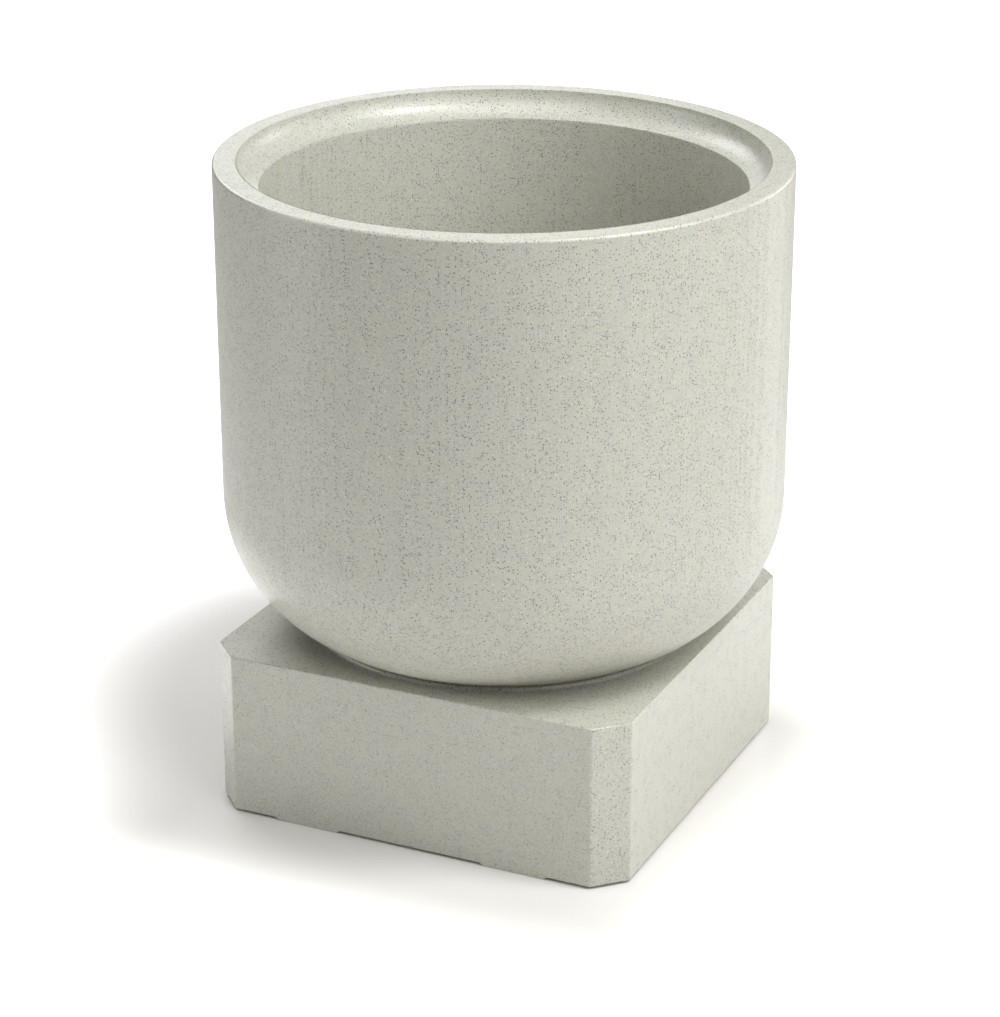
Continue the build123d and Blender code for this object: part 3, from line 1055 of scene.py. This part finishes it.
def threaded(radius, first_z, last_z, depth, per_turn=8):
    """Corners along a threaded stretch. The thread fades in and out over one turn."""
    count = round(abs(last_z - first_z) / thread_pitch * per_turn)
    corners = []
    for number in range(count + 1):
        share = number / count
        fade = min(1, number / per_turn, (count - number) / per_turn)
        corners.append(corner(radius, first_z + (last_z - first_z) * share, thread=depth * fade))
    return corners


bush_low, bush_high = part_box("drain_bush")
tube_radius = 17 * mm
wide_bore, narrow_bore = 14.05 * mm, 11 * mm
flange_under = bush_high.z - 3 * mm
bore_step_z = bush_high.z - 22 * mm
thread_height = 1.1 * mm

bush_section = (
    [corner(narrow_bore, bush_low.z, 0.6 * mm, 3), corner(tube_radius, bush_low.z, 1 * mm, 3)]
    + threaded(tube_radius, bush_low.z + 2 * mm, foot_z - 14 * mm, thread_height)
    + [
        corner(tube_radius, flange_under, 0.3 * mm, 2),
        corner(bush_high.x, flange_under, 0.4 * mm, 3),
        corner(bush_high.x, bush_high.z, 1 * mm, 6),
        corner(wide_bore, bush_high.z, 0.6 * mm, 3),
    ]
    + threaded(wide_bore, bush_high.z - 2 * mm, bore_step_z + 2 * mm, -thread_height)
    + [corner(wide_bore, bore_step_z), corner(narrow_bore, bore_step_z, 0.5 * mm, 2)]
)
drain_bush = turn("drain_bush_moulding", bush_section, drain_plastic)
smooth(drain_bush)
stand_in(drain_bush, "root", "drain_plastic", "drain_bush")

# %% [markdown]
# The plug has a threaded stem and a flat head with a shallow dish in its top. Both are turned as
# one piece. Narrow round cutters then flute the head's rim, so that a wet hand can turn it.

# %% Make the plug
plug_low, plug_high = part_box("drain_plug")
head_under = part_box("drain_plug_seal")[1].z
head_top = head_under + 4 * mm
head_radius = 22 * mm
stem_radius = 14 * mm
dish_outer, dish_inner, dish_depth = 14 * mm, 12 * mm, 0.8 * mm
flute_radius, flute_count, flute_offset, flute_reach = 0.9 * mm, 36, 0.35 * mm, 2 * mm
grip_length, grip_width, grip_sunk = 34 * mm, 7 * mm, 2 * mm
rib_length, rib_width, rib_pitch = 1.6 * mm, 1.5 * mm, 4 * mm
rib_count = 5

plug_section = (
    [corner(0, plug_low.z), corner(stem_radius - 1.5 * mm, plug_low.z, 0.5 * mm, 2)]
    + threaded(stem_radius, plug_low.z + 1.5 * mm, head_under - 2.5 * mm, thread_height)
    + [
        corner(stem_radius, head_under, 0.3 * mm, 2),
        corner(head_radius, head_under, 0.5 * mm, 3),
        corner(head_radius, head_top, 1.4 * mm, 6),
        corner(dish_outer, head_top, 4 * mm, 3),
        corner(dish_inner, head_top - dish_depth, 2 * mm, 3),
        corner(0, head_top - dish_depth),
    ]
)
drain_plug = turn("drain_plug_moulding", plug_section, drain_plastic)
flute_section = [
    corner(0, head_under - flute_reach),
    corner(flute_radius, head_under - flute_reach),
    corner(flute_radius, head_top + flute_reach),
    corner(0, head_top + flute_reach),
]
flute_cutter = turn("flute_cutter", flute_section, drain_plastic, segments=12)
carve(drain_plug, around(flute_cutter, flute_count, head_radius + flute_offset))

# %% [markdown]
# The grip is a bar across the head. Its finger ribs are small bars too, five on each side, and
# they end short of its top, so that the fingers find them but the top stays smooth.

# %% Make the grip and join it to the plug
def rounded_bar(name, length, width, low, high, rounding, material):
    """A bar with half-round ends and a rounded top."""
    work = bmesh.new()
    outline = []
    half_run, end = (length - width) / 2, width / 2
    end_steps = 16
    for side, start in ((1, -pi / 2), (-1, pi / 2)):
        for number in range(end_steps + 1):
            at = start + pi * number / end_steps
            outline.append((side * half_run + end * cos(at), end * sin(at)))
    face = work.faces.new([work.verts.new((x, y, low)) for x, y in outline])
    pushed = bmesh.ops.extrude_face_region(work, geom=[face])
    top = [v for v in pushed["geom"] if isinstance(v, bmesh.types.BMVert)]
    bmesh.ops.translate(work, verts=top, vec=(0, 0, high - low))
    top_edges = [e for e in work.edges if all(v in top for v in e.verts)]
    bmesh.ops.bevel(work, geom=top_edges, offset=rounding, segments=6, affect="EDGES", profile=0.5)
    mesh = bpy.data.meshes.new(name)
    work.to_mesh(mesh)
    work.free()
    mesh.materials.append(material)
    return face_outwards(show(name, mesh))


grip_low, grip_rounding = head_top - grip_sunk, 2.4 * mm
rib_low, rib_high, rib_rounding = head_top + 1.5 * mm, plug_high.z - 2.6 * mm, 0.5 * mm
grip = rounded_bar(
    "grip", grip_length, grip_width, grip_low, plug_high.z, grip_rounding, drain_plastic
)
for side in (-1, 1):
    for number in range(rib_count):
        rib = rounded_bar(
            "rib", rib_length, rib_width, rib_low, rib_high, rib_rounding, drain_plastic
        )
        along = (number - rib_count // 2) * rib_pitch
        rib.data.transform(Matrix.Translation((along, side * grip_width / 2, 0)))
        carve(grip, rib, "UNION")
carve(drain_plug, grip, "UNION")
face_outwards(drain_plug)
smooth(drain_plug, 35)
stand_in(drain_plug, "plug", "drain_plastic", "drain_plug")

# %% [markdown]
# ## Rubber and steel rings
#
# The gaskets and washers are turned with small roundings: punched rubber has a soft edge, and a
# pressed steel washer a smoother upper rim. The washers repeat under the four bolts.

# %% Turn the rings
def flat_ring(name, node, inner, outer, rounding, material, count=1):
    """A flat ring at the height of its CAD node, or several round the bolt circle."""
    low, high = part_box(node)
    corners = [
        corner(inner, low.z, rounding, 3),
        corner(outer, low.z, rounding, 3),
        corner(outer, high.z, rounding, 4),
        corner(inner, high.z, rounding, 4),
    ]
    piece = turn(name, corners, material, segments=72 if count > 1 else 128)
    return around(piece, count, bolt_circle) if count > 1 else piece


for name, node, inner, outer, rounding, finish, body, count in (
    # piece, node, inner and outer radius and rounding in mm, finish, body, count
    ("seat_gasket_ring", "seat_gasket", 165, 185, 0.6, "black_rubber", "root", 1),
    ("drain_bush_seal_ring", "drain_bush_seal", 17.5, 25, 0.5, "black_rubber", "root", 1),
    ("drain_backnut_washer_ring", "drain_backnut_washer", 17.5, 24, 0.4, "black_rubber", "root", 1),
    ("drain_plug_seal_ring", "drain_plug_seal", 14.3, 20, 0.6, "black_rubber", "plug_seal", 1),
    ("seal_washer_set", "seal_washers", 5.05, 12, 0.5, "black_rubber", "root", bolt_count),
    ("fixing_washer_set", "fixing_washers", 5.5, 10, 0.3, "stainless_steel", "root", bolt_count),
):
    material = black_rubber if finish == "black_rubber" else stainless
    piece = flat_ring(name, node, inner * mm, outer * mm, rounding * mm, material, count)
    smooth(piece)
    stand_in(piece, body, finish, node)

# %% [markdown]
# ## Hexagons
#
# A hexagon head is forged from round bar: six flats, corners turned off to a cone, a thin round
# face under the head and a shallow dish on top. The big nut under the drain is the same shape with
# a hole through it. One tree makes both. It crosses a hexagon prism with a cone, so the chamfer
# meets each flat in the curve that a real one has.

# %% Build the hexagon tree
hexagon, given, result = new_geometry_tree(
    "hexagon",
    {
        "Across Flats": ("NodeSocketFloat", 17 * mm),
        "Height": ("NodeSocketFloat", 6.4 * mm),
        "Face Height": ("NodeSocketFloat", 0.5 * mm),
        "Dish Radius": ("NodeSocketFloat", 5 * mm),
        "Dish Depth": ("NodeSocketFloat", 0.4 * mm),
        "Hole Radius": ("NodeSocketFloat", 0.0),
        "Shank Radius": ("NodeSocketFloat", 0.0),
        "Shank Length": ("NodeSocketFloat", 0.0),
        "Material": ("NodeSocketMaterial", None),
    },
)
margin = 1 * mm
slope = 3**0.5  # the chamfer falls 30 degrees: this much outward for each unit down
flats_by_corner = 3**0.5  # a hexagon's width across the flats, for a corner radius of 1
chamfer_share, face_share = 0.475, 0.47  # radii of the flat top and the face, by that width


def boolean(operation, first, second):
    """The two meshes joined, crossed or cut, as a mesh."""
    node = add(hexagon, "GeometryNodeMeshBoolean", operation=operation, solver="EXACT")
    if operation == "DIFFERENCE":
        hexagon.links.new(first, node.inputs["Mesh 1"])
    else:
        hexagon.links.new(first, node.inputs["Mesh 2"])
    hexagon.links.new(second, node.inputs["Mesh 2"])
    return node.outputs["Mesh"]


def upright(radius, top_radius, low, height, vertices):
    """A cylinder or cone that stands on this height."""
    inputs = {"Vertices": vertices, "Depth": height}
    inputs |= {"Radius Bottom": radius, "Radius Top": top_radius}
    cone = add(hexagon, "GeometryNodeMeshCone", inputs)
    lifted = add(hexagon, "ShaderNodeCombineXYZ", {"Z": low})
    inputs = {"Geometry": cone.outputs["Mesh"], "Translation": lifted.outputs[0]}
    return add(hexagon, "GeometryNodeTransform", inputs).outputs["Geometry"]


flats = given.outputs["Across Flats"]
height = given.outputs["Height"]
face_height = given.outputs["Face Height"]
corner_radius = math_node(hexagon, "DIVIDE", flats, flats_by_corner)
prism_height = math_node(hexagon, "SUBTRACT", height, face_height)
prism = upright(corner_radius, corner_radius, face_height, prism_height, 6)
cone_top = math_node(hexagon, "MULTIPLY", flats, chamfer_share)
cone_bottom = math_node(hexagon, "MULTIPLY_ADD", height, slope, cone_top)
head = boolean("INTERSECT", prism, upright(cone_bottom, cone_top, 0.0, height, 96))
face_radius = math_node(hexagon, "MULTIPLY", flats, face_share)
overlap = math_node(hexagon, "MULTIPLY", face_height, 2.0)
head = boolean("UNION", head, upright(face_radius, face_radius, 0.0, overlap, 96))
dish_low = math_node(hexagon, "SUBTRACT", height, given.outputs["Dish Depth"])
dish_radius = given.outputs["Dish Radius"]
dish_mouth = math_node(hexagon, "ADD", dish_radius, margin)
head = boolean("DIFFERENCE", head, upright(dish_radius, dish_mouth, dish_low, margin, 64))
shank_drop = math_node(hexagon, "MULTIPLY", given.outputs["Shank Length"], -1.0)
shank_height = math_node(hexagon, "ADD", given.outputs["Shank Length"], overlap)
shank_radius = given.outputs["Shank Radius"]
shank = upright(shank_radius, shank_radius, shank_drop, shank_height, 48)
with_shank = boolean("UNION", head, shank)
hole_radius = given.outputs["Hole Radius"]
through = math_node(hexagon, "MULTIPLY", height, 3.0)
below = math_node(hexagon, "MULTIPLY", height, -1.0)
with_hole = boolean("DIFFERENCE", head, upright(hole_radius, hole_radius, below, through, 96))
is_nut = add(hexagon, "FunctionNodeCompare", {"A": hole_radius, "B": 0.0}, operation="GREATER_THAN")
choice = add(
    hexagon,
    "GeometryNodeSwitch",
    {"Switch": is_nut.outputs["Result"], "False": with_shank, "True": with_hole},
    input_type="GEOMETRY",
)
end_tree(hexagon, choice.outputs["Output"], given.outputs["Material"], result)
print("hexagon tree with", len(hexagon.nodes), "nodes")


# %% [markdown]
# The bolts are one piece with four copies, each stopped at its own angle. The nut that clamps the
# drain has a hole instead of a shank.

# %% Make the bolts and the nut
def hexagon_piece(name, low, material, **values):
    """A bolt or nut whose underside is at the height low."""
    values["Material"] = material
    piece = run_tree(name, bpy.data.meshes.new(name), hexagon, **values)
    piece.data.transform(Matrix.Translation((0, 0, low)))
    return face_outwards(piece)


bolts_low, bolts_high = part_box("fixing_bolts")
bolt_head_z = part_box("fixing_washers")[1].z
bolts = hexagon_piece(
    "hexagon_bolt_set",
    bolt_head_z,
    stainless,
    Across_Flats=17 * mm,
    Height=bolts_high.z - bolt_head_z,
    Shank_Radius=5 * mm,
    Shank_Length=bolt_head_z - bolts_low.z,
)
bolts = around(bolts, bolt_count, bolt_circle, turn_limit=pi / 3, seed=4)
smooth(bolts, 25)
stand_in(bolts, "root", "stainless_steel", "fixing_bolts")

nut_low, nut_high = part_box("drain_backnut")
backnut = hexagon_piece(
    "backnut_moulding",
    nut_low.z,
    drain_plastic,
    Across_Flats=46 * mm,
    Height=nut_high.z - nut_low.z,
    Face_Height=1 * mm,
    Dish_Radius=19 * mm,
    Hole_Radius=17.05 * mm,
)
smooth(backnut, 25)
stand_in(backnut, "root", "drain_plastic", "drain_backnut")

# %% [markdown]
# ## The pieces that stay as measured
#
# The brass inserts and the vent plugs are simple shapes that are hidden once the planter is put
# together, so their measured meshes are kept and only take on a finish. The same table gives every
# other measured node its material, by the name of its slot.

# %% Finish the carried-over nodes
finishes = {
    "black_rubber": black_rubber,
    "drain_plastic": drain_plastic,
    "stainless_steel": stainless,
    "insert_brass": insert_brass,
    "stone_effect_plastic": stone_effect,
}
for part in frame["record"]["subparts"]:
    mesh = nodes[part["node"]].data
    mesh.materials.clear()
    mesh.materials.append(finishes[part["material_slot"]])
print("finishes by slot:", ", ".join(finishes))
